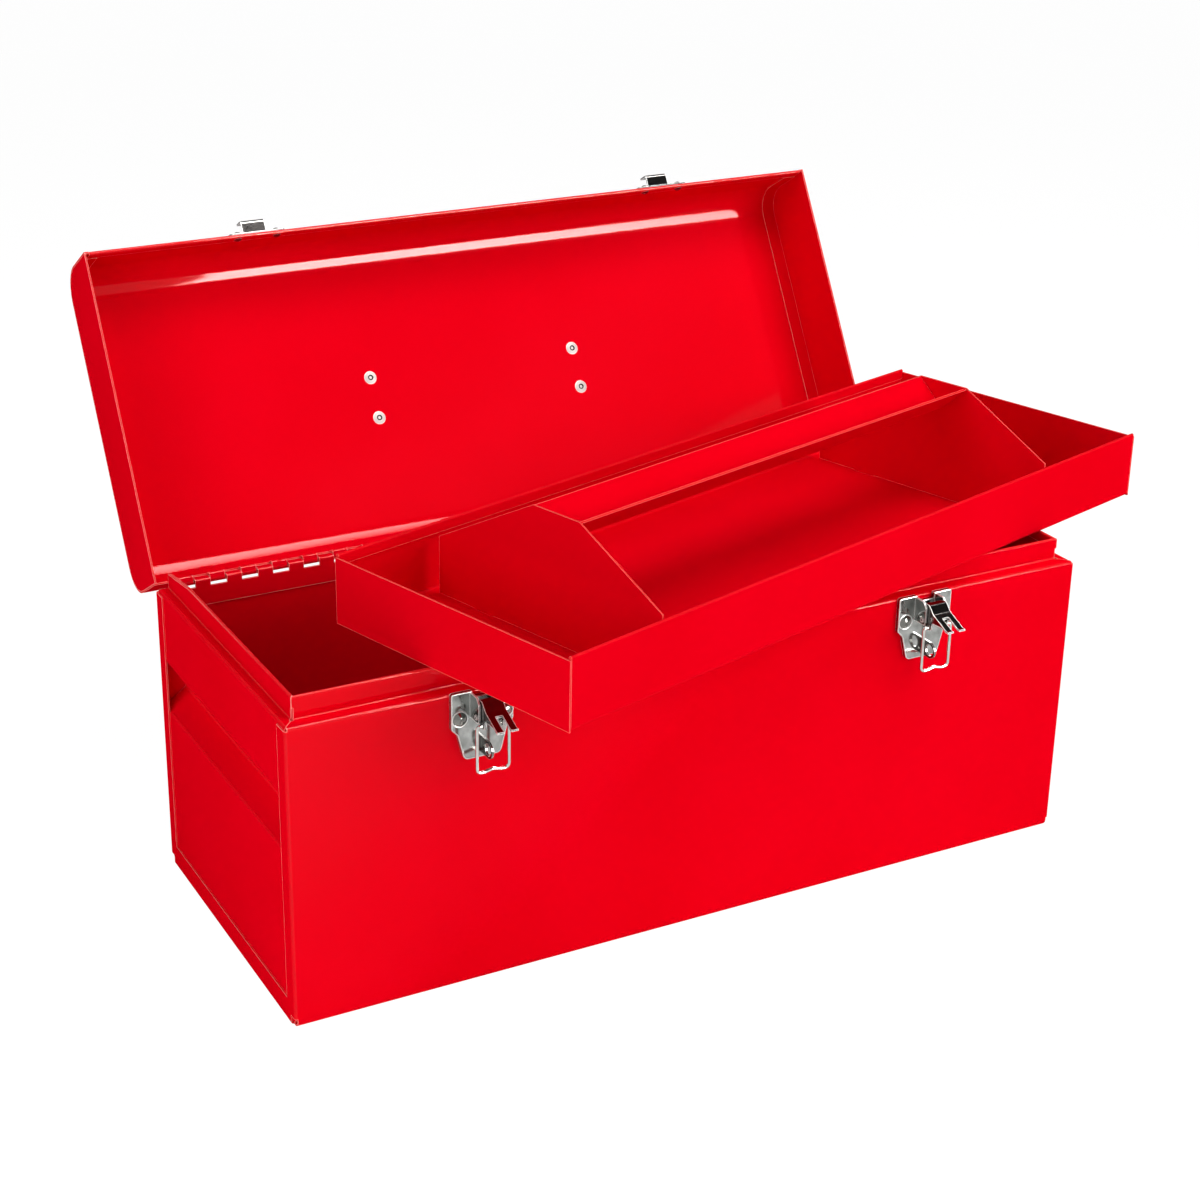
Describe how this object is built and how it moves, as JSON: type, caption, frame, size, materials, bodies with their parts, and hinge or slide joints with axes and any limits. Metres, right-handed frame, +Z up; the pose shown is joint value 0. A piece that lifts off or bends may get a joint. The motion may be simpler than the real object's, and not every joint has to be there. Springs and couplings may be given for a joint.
{
  "type": "steel tool box",
  "caption": "Red enamelled sheet steel tool box standing open, with a lift-out tray, draw latches and a carry handle.",
  "frame": {"origin": "middle of the flat underside of the box", "axes": "+X along the length to the right of a person at the front, +Y to the back, +Z up"},
  "size_m": [0.5877, 0.4342, 0.361],
  "materials": {
    "enamel": "gloss red enamel",
    "zinc_plate": "bright zinc plate",
    "rivet_steel": "plated steel",
    "grip": "moulded black"
  },
  "bodies": {
    "box": {"body_shell": "enamel", "end_panel_left": "enamel", "end_panel_right": "enamel", "hinge_leaf_body": "enamel", "hinge_pin": "rivet_steel", "latch_rivets": "rivet_steel", "latch_base_left": "zinc_plate", "latch_base_right": "zinc_plate", "latch_staple_left": "zinc_plate", "latch_staple_right": "zinc_plate", "latch_pivot_pin_left": "zinc_plate", "latch_pivot_pin_right": "zinc_plate"},
    "lid": {"lid_shell": "enamel", "lid_end_left": "enamel", "lid_end_right": "enamel", "hinge_leaf_lid": "enamel", "keeper_left": "zinc_plate", "keeper_right": "zinc_plate", "keeper_rivets": "rivet_steel", "handle_bracket_left": "zinc_plate", "handle_bracket_right": "zinc_plate", "handle_rivets": "rivet_steel"},
    "handle": {"handle_bail": "zinc_plate", "handle_grip": "grip"},
    "tray": {"tray_pan": "enamel", "tray_end_left": "enamel", "tray_end_right": "enamel", "tray_divider_left": "enamel", "tray_divider_right": "enamel", "tray_rail": "enamel"},
    "lever_left": {"latch_lever_left": "zinc_plate"},
    "lever_right": {"latch_lever_right": "zinc_plate"},
    "bail_left": {"latch_bail_left": "zinc_plate"},
    "bail_right": {"latch_bail_right": "zinc_plate"}
  },
  "joints": [
    {"name": "lid_hinge", "type": "hinge", "parent": "box", "child": "lid", "pos_m": [0, 0.1036, 0.1796], "axis": [1, 0, 0], "range_deg": [0, 120]},
    {"name": "tray_draw", "type": "slide", "parent": "box", "child": "tray", "axis": [0, -1, 0], "range_m": [0, 0.3]},
    {"name": "handle_swing", "type": "hinge", "parent": "lid", "child": "handle", "pos_m": [0, 0.20491, 0.23727], "axis": [1, 0, 0], "range_deg": [-30, 150]},
    {"name": "latch_lever_left_swing", "type": "hinge", "parent": "box", "child": "lever_left", "pos_m": [-0.143, -0.1123, 0.1687], "axis": [1, 0, 0], "range_deg": [0, 100]},
    {"name": "latch_bail_left_swing", "type": "hinge", "parent": "lever_left", "child": "bail_left", "pos_m": [-0.143, -0.1173, 0.1657], "axis": [1, 0, 0], "range_deg": [-285, 0]},
    {"name": "latch_lever_right_swing", "type": "hinge", "parent": "box", "child": "lever_right", "pos_m": [0.143, -0.1123, 0.1687], "axis": [1, 0, 0], "range_deg": [0, 100]},
    {"name": "latch_bail_right_swing", "type": "hinge", "parent": "lever_right", "child": "bail_right", "pos_m": [0.143, -0.1173, 0.1657], "axis": [1, 0, 0], "range_deg": [-285, 0]}
  ],
  "couplings": [
    {"joint": "tray_draw", "follows": "lid_hinge", "m_per_rad": 0.1432},
    {"joint": "latch_bail_left_swing", "follows": "latch_lever_left_swing", "ratio": -2.845},
    {"joint": "latch_bail_right_swing", "follows": "latch_lever_right_swing", "ratio": -2.845}
  ]
}
